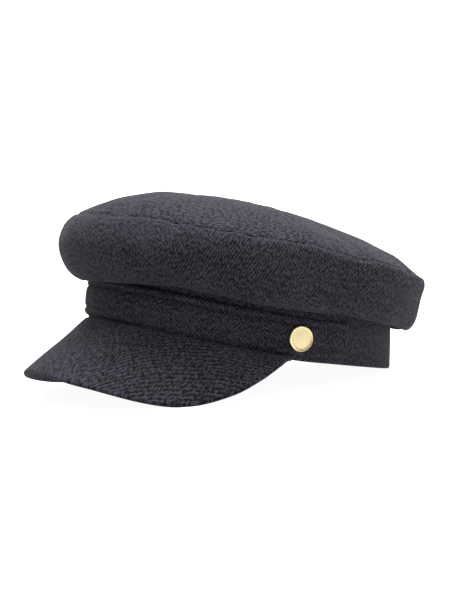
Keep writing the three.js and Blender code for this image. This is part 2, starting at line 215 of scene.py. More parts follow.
def twill(name, lean, nap=1.0):
    """Brushed wool twill: ribs leaning by an angle to the grain, paler fibres, nap for their size."""
    material = bpy.data.materials.new(name)
    material.use_nodes = True
    nodes, links = material.node_tree.nodes, material.node_tree.links
    shader = nodes["Principled BSDF"]
    shader.inputs["Roughness"].default_value = 0.92
    shader.inputs["Specular IOR Level"].default_value = 0.1
    shader.inputs["Sheen Weight"].default_value = 0.03
    shader.inputs["Sheen Roughness"].default_value = 0.55
    shader.inputs["Sheen Tint"].default_value = (0.62, 0.62, 0.72, 1)
    place = nodes.new("ShaderNodeUVMap")
    place.uv_map = "cloth"
    body = nodes.new("ShaderNodeTexCoord")

    def turned(angle, scale):
        node = nodes.new("ShaderNodeMapping")
        node.inputs["Rotation"].default_value = (0, 0, angle)
        node.inputs["Scale"].default_value = scale
        links.new(place.outputs["UV"], node.inputs["Vector"])
        return node.outputs["Vector"]

    def speckle(vector, size, detail, rough=0.6):
        node = nodes.new("ShaderNodeTexNoise")
        node.inputs["Scale"].default_value = 1 / size
        node.inputs["Detail"].default_value = detail
        node.inputs["Roughness"].default_value = rough
        links.new(vector, node.inputs["Vector"])
        return node.outputs["Fac"]

    def maths(kind, a, b):
        node = nodes.new("ShaderNodeMath")
        node.operation = kind
        for socket, value in zip(node.inputs, (a, b)):
            if isinstance(value, (int, float)):
                socket.default_value = value
            else:
                links.new(value, socket)
        return node.outputs[0]

    def ramp(value, *stops):
        node = nodes.new("ShaderNodeValToRGB")
        elements = node.color_ramp.elements
        for element, (at, colour) in zip(elements, (stops[0], stops[-1])):
            element.position = at
            element.color = (*colour, 1)
        for at, colour in stops[1:-1]:
            elements.new(at).color = (*colour, 1)
        links.new(value, node.inputs["Fac"])
        return node.outputs["Color"]

    # the ribs, a little uneven, with the yarn's own twist across them
    wander = speckle(turned(0, (1, 1, 1)), WANDER_SIZE, 2)
    rib_place = nodes.new("ShaderNodeSeparateXYZ")
    links.new(turned(lean, (1, 1, 1)), rib_place.inputs["Vector"])
    across = maths("MULTIPLY", rib_place.outputs["X"], 2 * math.pi / TWILL_STEP)
    across = maths("ADD", across, maths("MULTIPLY", wander, RIB_WANDER))
    rib = maths("ADD", maths("MULTIPLY", maths("SINE", across, 0), 0.5), 0.5)
    twist = maths("MULTIPLY", rib_place.outputs["Y"], 2 * math.pi / YARN_STEP)
    twist = maths("ADD", twist, maths("MULTIPLY", across, 0.5))
    yarn = maths("ADD", maths("MULTIPLY", maths("SINE", twist, 0), 0.5), 0.5)
    weave = maths("ADD", maths("MULTIPLY", rib, RIB_SHARE), maths("MULTIPLY", yarn, 1 - RIB_SHARE))

    # the wool's colour: dark between ribs, with short pale fibres and soft uneven dyeing
    fibres = speckle(turned(lean, (1, FIBRE_DRAWN, 1)), FIBRE_SIZE * nap, 2)
    parts = dict(
        weave=weave,
        clumps=speckle(turned(lean, (1, CLUMP_DRAWN, 1)), CLUMP_SIZE * nap, 1, 0.5),
        tufts=speckle(turned(0, (1, 1, 1)), TUFT_SIZE, 1, 0.5),
        cloud=speckle(body.outputs["Object"], CLOUD_SIZE, 2),
    )
    tone = fibres
    for part, share in TONE_SHARES.items():
        tone = maths("ADD", tone, maths("MULTIPLY", parts[part], share))
    colour = ramp(tone, *zip(TONE_STOPS, (DARK_WOOL, MID_WOOL, PALE_WOOL)))
    links.new(colour, shader.inputs["Base Color"])

    # the brushed nap over the weave
    lifted = maths("MULTIPLY", fibres, FIBRE_RELIEF)
    relief = maths("ADD", maths("MULTIPLY", weave, WEAVE_RELIEF), lifted)
    bump = nodes.new("ShaderNodeBump")
    bump.inputs["Strength"].default_value = 0.6
    bump.inputs["Distance"].default_value = NAP_HEIGHT
    links.new(relief, bump.inputs["Height"])
    links.new(bump.outputs["Normal"], shader.inputs["Normal"])
    return material


twill_band = twill("wool twill of the band", math.radians(38))
AROUND_STEP = 1.0  # degrees
BAND_STEPS = 26
AROUND = np.arange(-180, 180, AROUND_STEP)
UP = np.linspace(0, 1, BAND_STEPS + 1)


def band_face(out, inset):
    """The band's outer or inner face, with inset the depth that its two edges are drawn in by."""
    angle, up = np.meshgrid(AROUND, UP, indexing="ij")
    near_edge = np.minimum(up, 1 - up) * BAND_HEIGHT
    rolled = inset * np.clip(1 - near_edge / HEM_ROUND, 0, 1) ** 2
    stand = out - rolled - band_lean(angle) * up
    height = hem_height(angle) + BAND_HEIGHT * up
    soft = ripple(oval_point(angle, stand, height), BAND_SWELL_SIZE, BAND_SWELL)
    free = np.clip((np.abs(angle) - SWELL_FROM) / SWELL_EASE, 0, 1)
    return oval_point(angle, stand + soft * free, height), angle, up


outer, band_angle, band_up = band_face(0.0, HEM_DRAWN_IN)
inner, _, _ = band_face(-CLOTH, -HEM_DRAWN_IN)
HEAD_ROUND = math.pi * (HEAD_LENGTH + HEAD_WIDTH) / 2
band_cloth = np.stack([band_angle / 360 * HEAD_ROUND, band_up * BAND_HEIGHT], -1)
band = cloth_piece("head_band", outer, inner, band_cloth, twill_band, wraps=True)
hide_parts("band")
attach(band, "root")


# The strap
# A strip of the same twill with both edges turned under, laid over the front of the band.
# Two rows of stitching hold it, with a button near each end.
GAP = 0.3 * MM
STRAP_HEIGHT = 23 * MM
STRAP_CLOTH = 1.6 * MM
STRAP_LIFT = 3.5 * MM
STRAP_END = 110.5  # degrees from the front
STRAP_FULL = 1.1 * MM
FULL_EASE = 3 * MM
STRAP_EDGE_FALL = 1.3 * MM
STRAP_EDGE_ROUND = 1.5 * MM
STRAP_END_FALL = 0.8 * MM
STRAP_END_ROUND = 1.2 * MM
STRAP_PUCKER = 0.18 * MM
STRAP_PUCKER_SIZE = 9 * MM
STRAP_PUCKER_DRAWN = 0.5  # scale up the strap, so that puckers come out longer that way
ROW_SWELL = 0.35 * MM
GROOVE_WIDTH = 1.0 * MM
STITCH_ROWS = (0.23, 0.8)  # shares of the strap's height
STITCH_LENGTH = 2.6 * MM
STITCH_SPACE = 1.0 * MM
STITCH_THICK = 0.42 * MM
STITCH_SINK = 0.95 * MM
STITCH_STAND = 0.1  # share of the thread's thickness
STITCH_BOW = 0.35
STITCH_TIP = 0.35
STITCH_SIDES = 6
STITCH_RINGS = 5
ROW_SHORT = 1.2  # degrees that a row stops before the strap's end
SEW_STEPS = 600
THREAD_TWIST = 0.5 * MM
STRAP_STEPS = 320
STRAP_UP_STEPS = 30
STRAP_EDGE_STEPS = np.array([0.01, 0.025, 0.05])

twill_strap = twill("wool twill of the strap", math.radians(40))
strap_around = np.linspace(-STRAP_END, STRAP_END, STRAP_STEPS + 1)
strap_up = np.concatenate([np.linspace(0, 1, STRAP_UP_STEPS + 1), STRAP_EDGE_STEPS, 1 - STRAP_EDGE_STEPS])
strap_up = np.unique(strap_up)


def strap_surface(angle, up, out):
    """Points over the strap's place, so far out from the band's outside."""
    height = STRAP_LIFT + STRAP_HEIGHT * up
    lean = band_lean(angle) * height / BAND_HEIGHT
    return oval_point(angle, out - lean, hem_height(angle) + height)


def strap_relief(angle, up):
    """How far the strap's face stands over its flat cloth: rounded edges, sunk rows, soft swells."""
    edge = np.minimum(up, 1 - up) * STRAP_HEIGHT
    rolled = -STRAP_EDGE_FALL * np.clip(1 - edge / STRAP_EDGE_ROUND, 0, 1) ** 2
    end = (STRAP_END - np.abs(angle)) / 360 * HEAD_ROUND
    rolled -= STRAP_END_FALL * np.clip(1 - end / STRAP_END_ROUND, 0, 1) ** 2
    sunk = 0.0
    for row in STITCH_ROWS:
        sunk = sunk - STITCH_SINK * np.exp(-(((up - row) * STRAP_HEIGHT / GROOVE_WIDTH) ** 2))
    ahead = np.cos(np.radians(np.clip(angle, -90, 90)))
    full = STRAP_FULL * ahead * np.clip(edge / FULL_EASE, 0, 1)
    between = np.clip((up - STITCH_ROWS[0]) / (STITCH_ROWS[1] - STITCH_ROWS[0]), 0, 1)
    swell = ROW_SWELL * np.sin(np.pi * between)
    return rolled + sunk + swell + full


strap_angle, strap_share = np.meshgrid(strap_around, strap_up, indexing="ij")
flat = strap_surface(strap_angle, strap_share, GAP + STRAP_CLOTH)
drawn = ripple(flat * np.array([1, 1, STRAP_PUCKER_DRAWN]), STRAP_PUCKER_SIZE, STRAP_PUCKER)
relief = strap_relief(strap_angle, strap_share) + drawn
outer = strap_surface(strap_angle, strap_share, GAP + STRAP_CLOTH + relief)
inner = strap_surface(strap_angle, strap_share, GAP)
strap_cloth = np.stack([strap_angle / 360 * HEAD_ROUND, strap_share * STRAP_HEIGHT], -1)
strap = cloth_piece("strap_cloth", outer, inner, strap_cloth, twill_strap)
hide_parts("strap")
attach(strap, "root")

thread = bpy.data.materials.new("dark sewing thread")
thread.use_nodes = True
thread_shader = thread.node_tree.nodes["Principled BSDF"]
thread_twist = thread.node_tree.nodes.new("ShaderNodeTexNoise")
thread_twist.inputs["Scale"].default_value = 1 / THREAD_TWIST
thread_tone = thread.node_tree.nodes.new("ShaderNodeValToRGB")
thread_tone.color_ramp.elements[0].color = (0.002, 0.002, 0.003, 1)
thread_tone.color_ramp.elements[1].color = (0.009, 0.009, 0.012, 1)
thread.node_tree.links.new(thread_twist.outputs["Fac"], thread_tone.inputs["Fac"])
thread.node_tree.links.new(thread_tone.outputs["Color"], thread_shader.inputs["Base Color"])
thread_shader.inputs["Roughness"].default_value = 0.85


def stitch_row(name, path, length, space, thick):
    """A row of stitches along a path: each a short length of thread, bowed up in its middle."""
    steps = np.linalg.norm(np.diff(path, axis=0), axis=1)
    run = np.concatenate([[0], np.cumsum(steps)])
    points, faces = [], []
    sides = STITCH_SIDES
    starts = np.arange(space, run[-1] - length, length + space)
    for start in starts:
        stations = start + length * np.linspace(0, 1, STITCH_RINGS)
        middle = np.stack([np.interp(stations, run, path[:, k]) for k in range(3)], 1)
        ahead = middle[-1] - middle[0]
        ahead /= np.linalg.norm(ahead)
        outward = np.array([middle[2][0], middle[2][1], 0.0])
        outward -= ahead * (outward @ ahead)
        outward /= np.linalg.norm(outward)
        across = np.cross(ahead, outward)
        first = len(points)
        for ring, centre in enumerate(middle):
            swelled = math.sin(math.pi * ring / (STITCH_RINGS - 1))
            wide = thick / 2 * (STITCH_TIP + (1 - STITCH_TIP) * swelled)
            rise = thick * STITCH_BOW * swelled
            for side in range(sides):
                turn = 2 * math.pi * side / sides
                over = outward * (rise + wide * math.sin(turn))
                points.append(centre + over + across * wide * math.cos(turn))
        for ring in range(STITCH_RINGS - 1):
            for side in range(sides):
                a = first + ring * sides + side
                b = first + ring * sides + (side + 1) % sides
                faces.append((a, b, b + sides, a + sides))
        faces.append(tuple(first + side for side in reversed(range(sides))))
        end = first + (STITCH_RINGS - 1) * sides
        faces.append(tuple(end + side for side in range(sides)))
    mesh = bpy.data.meshes.new(name)
    mesh.from_pydata([tuple(p) for p in points], [], faces)
    mesh.polygons.foreach_set("use_smooth", [True] * len(mesh.polygons))
    mesh.materials.append(thread)
    piece = bpy.data.objects.new(name, mesh)
    bpy.context.collection.objects.link(piece)
    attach(piece, "root")
    return piece


stitches = []
for name, row in (("lower_stitches", STITCH_ROWS[0]), ("upper_stitches", STITCH_ROWS[1])):
    sew = np.linspace(-STRAP_END + ROW_SHORT, STRAP_END - ROW_SHORT, SEW_STEPS)
    stand = strap_relief(sew, np.full_like(sew, row)) + STITCH_THICK * STITCH_STAND
    path = strap_surface(sew, row, GAP + STRAP_CLOTH + stand)
    stitches.append(stitch_row(name, path, STITCH_LENGTH, STITCH_SPACE, STITCH_THICK))


# The peak
# A curved board covered in the same twill on both sides, its edge turned over the board.
# It is sewn in under the strap, and the cap rests on its two lowest stretches of rim.
PEAK_REACH = 38 * MM
PEAK_DROP = 45 * MM
PEAK_BOW = 1 * MM
PEAK_THICKNESS = 3.2 * MM
PEAK_END = 87  # degrees from the front
RIM_BLUNT = 0.98
PEAK_SEAT = 2 * MM
PEAK_SWELL = 0.5 * MM
PEAK_SWELL_SIZE = 30 * MM
PEAK_PUCKER = 0.12 * MM
PEAK_PUCKER_SIZE = 8 * MM
FAR_DROOP = 3 * MM
FAR_TUCK = 2.4 * MM
FAR_START = 6  # degrees, towards the near side of the front
FAR_LAST = -52
FAR_EASE = 26
FAR_FULL = 0.6  # share of the way to the rim where the droop is whole
ROOT_VALLEY = 1.6 * MM
ROOT_WIDTH = 2.6 * MM
VALLEY_EASE = 12 * MM
ROOT_SEWN = 74
ROOT_ROW = 1.9 * MM
ROOT_STITCH = 1.7 * MM
ROOT_SPACE = 0.6  # share of a stitch's length
ROOT_STEPS = 400
ROOT_STAND = 0.2  # share of the thread's thickness
PEAK_STEPS = 240
PEAK_OUT_STEPS = 35
RIM_FROM = 0.97
RIM_LAST = 0.001
RIM_STEPS = 8
PEAK_SECTIONS = [
    dict(share=0.0, reach=1.0, drop=0.9),
    dict(share=0.29, reach=0.94, drop=0.95),
    dict(share=0.52, reach=0.81, drop=1.0),
    dict(share=0.64, reach=0.71, drop=0.93),
    dict(share=0.78, reach=0.56, drop=0.68),
    dict(share=0.88, reach=0.4, drop=0.41),
    dict(share=0.95, reach=0.24, drop=0.2),
    dict(share=1.0, reach=0.09, drop=0.1),
]


def rim_of(angle):
    """The rim's lower edge in its section: how far out from the band, and its height."""
    share = np.abs(angle) / PEAK_END
    reach = PEAK_REACH * along(PEAK_SECTIONS, "share", "reach", share)
    drop = PEAK_DROP * along(PEAK_SECTIONS, "share", "drop", share)
    return reach, hem_height(angle) + STRAP_LIFT - GAP - drop


def eased(share):
    """A share that starts and ends gently."""
    return share * share * (3 - 2 * share)


def peak_face(angle, share, side):
    """The peak's upper side at 1 and its under side at -1, meeting in a round rim."""
    reach, low = rim_of(angle)
    start_out = GAP
    start_high = hem_height(angle) + STRAP_LIFT - GAP
    fall_out = reach - start_out
    fall_high = low - start_high
    length = np.hypot(fall_out, fall_high)
    up_out = -fall_high / length
    up_high = fall_out / length
    bow = PEAK_BOW * np.minimum(1, length / PEAK_REACH) * 4 * share * (1 - share)
    near_rim = np.clip(1 - (1 - share) * length / (PEAK_THICKNESS / 2), 0, 1)
    half = PEAK_THICKNESS / 2 * np.sqrt(1 - RIM_BLUNT * near_rim**2)
    raised = bow + PEAK_THICKNESS * share - PEAK_THICKNESS / 2 + side * half
    out = start_out + fall_out * share + up_out * raised
    high = start_high + fall_high * share + up_high * raised

    # the root is seated level on the band, with a valley along its upper side where it is sewn
    seat = np.clip(1 - share * length / PEAK_SEAT, 0, 1)
    high = high * (1 - seat) + seat * (start_high - (0 if side > 0 else PEAK_THICKNESS))
    if side > 0:
        valley = ROOT_VALLEY * np.minimum(1, length / VALLEY_EASE)
        high = high - valley * np.exp(-((share * length / ROOT_WIDTH) ** 2))

    # the far front hangs a little lower and shorter, as the cap is worn
    rise = np.clip((FAR_START - angle) / FAR_EASE, 0, 1)
    fall = np.clip((angle - FAR_LAST) / FAR_EASE, 0, 1)
    outward = np.sin(math.pi / 2 * np.minimum(1, share / FAR_FULL))
    worn = eased(rise) * eased(fall) * outward
    return oval_point(angle, np.maximum(out - FAR_TUCK * worn, GAP), high - FAR_DROOP * worn)


twill_peak = twill("wool twill of the peak", math.radians(24))
peak_around = np.linspace(-PEAK_END, PEAK_END, PEAK_STEPS + 1)
to_rim = np.linspace(0, RIM_FROM, PEAK_OUT_STEPS + 1)
peak_share = np.unique(np.concatenate([to_rim, 1 - np.geomspace(1 - RIM_FROM, RIM_LAST, RIM_STEPS), [1.0]]))
peak_angle, peak_out = np.meshgrid(peak_around, peak_share, indexing="ij")
upper = peak_face(peak_angle, peak_out, 1)
under = peak_face(peak_angle, peak_out, -1)
swell = ripple(upper, PEAK_SWELL_SIZE, PEAK_SWELL, shift=7.0)
swell += ripple(upper, PEAK_PUCKER_SIZE, PEAK_PUCKER, shift=3.0)
upper[..., 2] += swell * np.sin(np.pi * peak_out)
peak_cloth = np.stack([upper[..., 0], upper[..., 1]], -1)
peak = cloth_piece("peak_cloth", upper, under, peak_cloth, twill_peak)
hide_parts("peak")
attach(peak, "root")

root_sew = np.linspace(-ROOT_SEWN, ROOT_SEWN, ROOT_STEPS)
root_reach, root_low = rim_of(root_sew)
root_share = ROOT_ROW / np.hypot(root_reach, hem_height(root_sew) + STRAP_LIFT - root_low)
root_path = peak_face(root_sew, root_share, 1) + np.array([0, 0, STITCH_THICK * ROOT_STAND])
root_row = stitch_row("root_stitches", root_path, ROOT_STITCH, ROOT_STITCH * ROOT_SPACE, STITCH_THICK)
stitches.append(root_row)


# The crown's side
# A deep panel of twill, eased to the band's upper edge so that it puffs out and folds over it.
# It is seamed to the back panel behind each side, and to the top all round.
CROWN_HEIGHT = 35 * MM
CROWN_PUFF = 25 * MM
FOLD_DROP = 9 * MM
FOLD_OUT = 8 * MM
PANEL_SEAM = 107  # degrees from the front
SEAM_LEAN = 5
FOLD_MIDDLE = 0.5
LOW_TURN = 0.75  # radians back from the widest place
HIGH_OUT = 0.72
HIGH_RISE = 0.66
MEAN_PUFF = 0.7
SEAM_UNEVEN = 0.45 * MM
SEAM_WAVES = (13, 29)
SECOND_WAVE = 0.7  # share of the first
SEAM_SINK = 0.95 * MM
SEAM_WIDE = 1.2 * MM
PANEL_SINK = 0.5 * MM
PANEL_WIDE = 0.8 * MM
TURNINGS = 0.9 * MM
TURNING_WIDTH = 6 * MM
BACK_FULL = 1.8 * MM
BACK_FULL_AT = 0.86
BACK_FULL_WIDE = 0.12
FRONT_TUCK = 1.8 * MM
FRONT_TUCK_AT = 0.57
FRONT_TUCK_WIDE = 0.09
SIDE_SWELL = 1.5 * MM
SIDE_SWELL_SIZE = 46 * MM
SIDE_DENT = 0.5 * MM
SIDE_DENT_SIZE = 17 * MM
GATHERS = 31
GATHER_WANDER = 2.4
WANDERS = 5
TOP_PUCKERS = 47
PUCKER = 0.22 * MM
GATHER_AT = 16 * MM
GATHER_HEIGHT = 9 * MM
HELD_HEIGHT = 9 * MM
HELD_EASE = 8 * MM
TOP_EASE = 10 * MM
TOP_LEFT_SOFT = 0.15
UNDER_FOLLOWS = 0.5
PANEL_FINE = 1.25  # rows for each degree
PANEL_UP_STEPS = 60
PANEL_SEAM_STEPS = np.array([0, 0.0015, 0.004, 0.008, 0.013])
TOP_SEAM_STEPS = np.array([0, 0.004, 0.009, 0.016, 0.026])


def spline(knots, share):
    """Points at shares along a smooth curve through knots, the shares counted knot by knot."""
    knots = np.asarray(knots)
    last = len(knots) - 1
    at = np.clip(share * last, 0, last - 1e-9)
    i = np.floor(at).astype(int)
    t = (at - i).reshape((-1,) + (1,) * (knots.ndim - 1))
    a, b, c, d = (knots[np.clip(i + n, 0, last)] for n in (-1, 0, 1, 2))
    bend = 2 * a - 5 * b + 4 * c - d
    twist = 3 * b - 3 * c + d - a
    return 0.5 * (2 * b + (c - a) * t + bend * t**2 + twist * t**3)


def crown_line(angle, share):
    """The crown's side in its section, from the band round the fold up to the top seam."""
    top = hem_height(angle) + BAND_HEIGHT
    start = top + GAP + CLOTH / 2
    fold = top - FOLD_DROP * cap_at("fold", angle) + CLOTH / 2
    widest = top + CROWN_HEIGHT * cap_at("wide", angle)
    turn = np.radians(angle)
    uneven = np.sin(SEAM_WAVES[0] * turn + 0.5) + SECOND_WAVE * np.sin(SEAM_WAVES[1] * turn + 1.3)
    seam = top + CROWN_HEIGHT * cap_at("seam", angle) + SEAM_UNEVEN * uneven
    puff = CROWN_PUFF * cap_at("puff", angle) - CLOTH / 2
    neck = CROWN_PUFF * cap_at("puff", angle) * cap_at("neck", angle)
    lean = band_lean(angle)
    fold_out = np.full_like(fold, FOLD_OUT)
    low_in = (puff - fold_out) * (1 - math.sin(LOW_TURN))
    knots = [
        (-CLOTH - lean, start),
        (CLOTH / 2 - lean, start),
        (fold_out * FOLD_MIDDLE, start - (start - fold) * FOLD_MIDDLE),
        (fold_out, fold),
        (puff - low_in, widest - (widest - fold) * math.cos(LOW_TURN)),
        (puff, widest),
        (neck + (puff - neck) * HIGH_OUT, widest + (seam - widest) * HIGH_RISE),
        (neck, seam),
    ]
    return spline(np.array(knots).transpose(0, 2, 1), share)


def unit_normals(grid):
    """Normals of a grid of points, rows along its first axis."""
    normals = np.cross(np.gradient(grid, axis=0), np.gradient(grid, axis=1))
    size = np.linalg.norm(normals, axis=-1, keepdims=True)
    return normals / np.maximum(size, 1e-12)


def crown_panel(name, first, last, material):
    """One panel of the crown's side between two upright seams, which lean forwards as they rise."""
    # rows lie closer together by the seams
    count = int((last - first) * PANEL_FINE)
    base = np.concatenate([PANEL_SEAM_STEPS, np.linspace(0, 1, count), 1 - PANEL_SEAM_STEPS])
    base = np.unique(base)
    up = np.unique(np.concatenate([np.linspace(0, 1, PANEL_UP_STEPS + 1), 1 - TOP_SEAM_STEPS]))
    across = 2 * base - 1
    is_back = last > 180
    middle = np.zeros((len(base), len(up), 2))
    angles = np.zeros((len(base), len(up)))
    for j, share in enumerate(up):
        lean = SEAM_LEAN * share * (1 if is_back else -1)
        angle = first + (last - first) * base + across * lean
        angles[:, j] = angle
        middle[:, j] = crown_line(angle, np.array([share]))[0]
    place = oval_point(angles, middle[..., 0], middle[..., 1])
    out = unit_normals(place)
    centre = len(base) // 2, len(up) // 2
    if (out[centre] * place[centre]).sum() < 0:
        out = -out

    # how far each point is up the cloth, from the top seam and from the nearest upright seam
    climbs = np.linalg.norm(np.diff(place, axis=1), axis=2)
    run = np.concatenate([np.zeros((len(base), 1)), np.cumsum(climbs, 1)], 1)
    to_top = run[:, -1:] - run
    arc = np.minimum(base, 1 - base) * np.radians(last - first) * (HEAD_WIDTH / 2 + CROWN_PUFF * MEAN_PUFF)
    to_side = np.repeat(arc[:, None], len(up), 1)

    # the seams sink, and the turnings under the top seam lift the cloth beside it
    sunk = SEAM_SINK * np.exp(-((to_top / SEAM_WIDE) ** 2))
    sunk += PANEL_SINK * np.exp(-((to_side / PANEL_WIDE) ** 2))
    sunk -= TURNINGS * np.exp(-((to_top / TURNING_WIDTH) ** 2))

    # soft swells where the cloth is free, gathers over the fold and small puckers by the top seam
    turned = np.radians(angles)
    free = np.clip((run - HELD_HEIGHT) / HELD_EASE, 0, 1)
    soft = ripple(place, SIDE_SWELL_SIZE, SIDE_SWELL, shift=2.0)
    soft += ripple(place, SIDE_DENT_SIZE, SIDE_DENT, shift=5.0)
    gathers = np.sin(GATHERS * turned + GATHER_WANDER * np.sin(WANDERS * turned))
    pucker = PUCKER * gathers * np.exp(-(((run - GATHER_AT) / GATHER_HEIGHT) ** 2))
    pucker += PUCKER * np.sin(TOP_PUCKERS * turned) * np.exp(-to_top / TURNING_WIDTH)
    raised = soft * free * np.clip(to_top / TOP_EASE, TOP_LEFT_SOFT, 1) + pucker * free
    full = np.exp(-(((up - BACK_FULL_AT) / BACK_FULL_WIDE) ** 2))
    raised += BACK_FULL * np.clip(-np.cos(turned), 0, 1) * full
    tuck = np.exp(-(((up - FRONT_TUCK_AT) / FRONT_TUCK_WIDE) ** 2))
    raised -= FRONT_TUCK * np.clip(np.cos(turned), 0, 1) ** 2 * tuck

    outside = place + out * (CLOTH / 2 + raised - sunk)[..., None]
    inside = place - out * (CLOTH / 2 - raised * UNDER_FOLLOWS)[..., None]
    around = angles / 360 * math.pi * ((HEAD_LENGTH + HEAD_WIDTH) / 2 + 2 * MEAN_PUFF * CROWN_PUFF)
    cloth = np.stack([around, run], -1)
    piece = cloth_piece(name, outside, inside, cloth, material)
    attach(piece, "root")
    return piece


PANEL_CLEAR = 0.05 * MM
seam_gap = math.degrees(PANEL_CLEAR / HEAD_WIDTH)
twill_side = twill("wool twill of the crown side", math.radians(26))
crown_side = crown_panel("crown_side_cloth", -PANEL_SEAM + seam_gap, PANEL_SEAM - seam_gap, twill_side)
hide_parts("crown_side")


# The crown's back
# A shorter panel with the twill turned nearly level, joined to the side panel by upright seams.
# It sags over the band where the cap tips back.
twill_back = twill("wool twill of the crown back", math.radians(57), 1.25)
crown_back = crown_panel("crown_back_cloth", PANEL_SEAM + seam_gap, 360 - PANEL_SEAM - seam_gap, twill_back)
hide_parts("crown_back")


# The crown's top
# One oval of twill, seamed all round to the panels below and puffed up into a soft dome.
# Its edge is turned in at the seam, which draws small puckers in from it.
DOME_RISE = 25 * MM
EDGE_BLEND = 14 * MM
SEAM_CLEAR = 0.03 * MM
EDGE_TURNED = 2.2 * MM
TURNED_WIDTH = 1.4 * MM
TOP_SWELL = 2.2 * MM
TOP_SWELL_SIZE = 52 * MM
TOP_DENT = 0.6 * MM
TOP_DENT_SIZE = 19 * MM
TOP_PUCKER = 0.3 * MM
TOP_PUCKER_WIDTH = 5 * MM
DOME_PUCKERS = 43
TOP_UNDER_FOLLOWS = 0.6
JUST_BELOW = 0.99  # share of the way up the side, for its slope at the seam
DOME_STEPS = 55
DOME_EDGE_STEPS = np.array([0.002, 0.005, 0.009, 0.014])
twill_top = twill("wool twill of the crown top", math.radians(24), 1.25)
top_share = np.unique(np.concatenate([np.linspace(0, 1, DOME_STEPS + 1), 1 - DOME_EDGE_STEPS]))
edge_line = crown_line(AROUND, np.array([1.0]))[0]
edge = oval_point(AROUND, edge_line[:, 0], edge_line[:, 1] + CLOTH / 2 + GAP)
front = edge[len(edge) // 2]
back = edge[0]
middle = np.array([0, (front[1] + back[1]) / 2, (front[2] + back[2]) / 2])
crest = cap_at("crest", AROUND)[:, None]
share = top_share[None, :]
dome = middle + (edge[:, None, :] - middle) * share[..., None]
dome[..., 2] += DOME_RISE * (1 - share**crest)
reach = np.linalg.norm((edge - middle)[:, :2], axis=1)[:, None]
to_edge = (1 - share) * reach
soft = ripple(dome, TOP_SWELL_SIZE, TOP_SWELL, shift=4.0)
soft += ripple(dome, TOP_DENT_SIZE, TOP_DENT, shift=9.0)
soft *= np.clip(to_edge / EDGE_BLEND, 0, 1)
pucker = TOP_PUCKER * np.sin(DOME_PUCKERS * np.radians(AROUND))[:, None]
pucker = pucker * np.exp(-to_edge / TOP_PUCKER_WIDTH)
up = np.array([0, 0, 1.0])
outside = dome + up * (CLOTH + soft)[..., None]
inside = dome + up * (soft * TOP_UNDER_FOLLOWS)[..., None]

# Near its seam the top comes down flush with the panels below, then dips into the seam
below = crown_line(AROUND, np.array([JUST_BELOW]))[0]
below = oval_point(AROUND, below[:, 0], below[:, 1])
seam_line = oval_point(AROUND, edge_line[:, 0], edge_line[:, 1])
climb = (seam_line - below) / np.linalg.norm(seam_line - below, axis=1, keepdims=True)
around = np.roll(seam_line, -1, 0) - np.roll(seam_line, 1, 0)
face = np.cross(around, climb)
face /= np.linalg.norm(face, axis=1, keepdims=True)
near = eased(np.clip(1 - to_edge / EDGE_BLEND, 0, 1))
flush = seam_line + face * (CLOTH / 2 + TURNINGS) + climb * SEAM_CLEAR
tucked = seam_line + face * (CLOTH / 2 + GAP / 2) + climb * SEAM_CLEAR
outside += near[..., None] * (flush - edge - up * CLOTH)[:, None, :]
inside += near[..., None] * (tucked - edge)[:, None, :]
turned_in = EDGE_TURNED * np.exp(-((to_edge / TURNED_WIDTH) ** 2))
inside -= turned_in[..., None] * face[:, None, :]
dip = SEAM_SINK * np.exp(-((to_edge / SEAM_WIDE) ** 2)) - pucker
outside -= dip[..., None] * face[:, None, :]
top_cloth = np.stack([dome[..., 0], dome[..., 1]], -1)
crown_top = cloth_piece("crown_top_cloth", outside, inside, top_cloth, twill_top, wraps=True)
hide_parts("crown_top")
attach(crown_top, "root")


# The buttons
# Two pale gold buttons, pressed from brass: a raised rim, a ring of punched dots and a plain middle.
# Each is sewn through the strap at one side of the cap.
BUTTON_WIDTH = 16 * MM
BUTTON_THICKNESS = 2.2 * MM
BUTTON_ANGLE = 90
BUTTON_DROP = 1.3 * MM
WEAR_SIZE = 2.5 * MM
DOT_COUNT = 22
DOT_RING = 0.76  # share of the button's radius
DOT_SIZE = 0.26 * MM
DOT_STAND = 0.04 * MM
DOT_SIDES = 8
DOT_FACE = 0.9  # share of the button's thickness

brass = bpy.data.materials.new("pale gold brass")
brass.use_nodes = True
brass_shader = brass.node_tree.nodes["Principled BSDF"]
brass_shader.inputs["Metallic"].default_value = 1.0
brass_wear = brass.node_tree.nodes.new("ShaderNodeTexNoise")
brass_wear.inputs["Scale"].default_value = 1 / WEAR_SIZE
brass_wear.inputs["Detail"].default_value = 4
brass_place = brass.node_tree.nodes.new("ShaderNodeTexCoord")
brass_gloss = brass.node_tree.nodes.new("ShaderNodeMapRange")
brass_gloss.inputs["To Min"].default_value = 0.22
brass_gloss.inputs["To Max"].default_value = 0.36
brass_tone = brass.node_tree.nodes.new("ShaderNodeValToRGB")
brass_tone.color_ramp.elements[0].color = (0.58, 0.48, 0.26, 1)
brass_tone.color_ramp.elements[1].color = (0.68, 0.58, 0.35, 1)
for source, target in (
    (brass_place.outputs["Object"], brass_wear.inputs["Vector"]),
    (brass_wear.outputs["Fac"], brass_gloss.inputs["Value"]),
    (brass_wear.outputs["Fac"], brass_tone.inputs["Fac"]),
    (brass_gloss.outputs["Result"], brass_shader.inputs["Roughness"]),
    (brass_tone.outputs["Color"], brass_shader.inputs["Base Color"]),
):
    brass.node_tree.links.new(source, target)

dark_brass = bpy.data.materials.new("brass darkened in the punched dots")
dark_brass.use_nodes = True
dark_shader = dark_brass.node_tree.nodes["Principled BSDF"]
dark_shader.inputs["Metallic"].default_value = 1.0
dark_shader.inputs["Base Color"].default_value = (0.36, 0.24, 0.09, 1)
dark_shader.inputs["Roughness"].default_value = 0.5

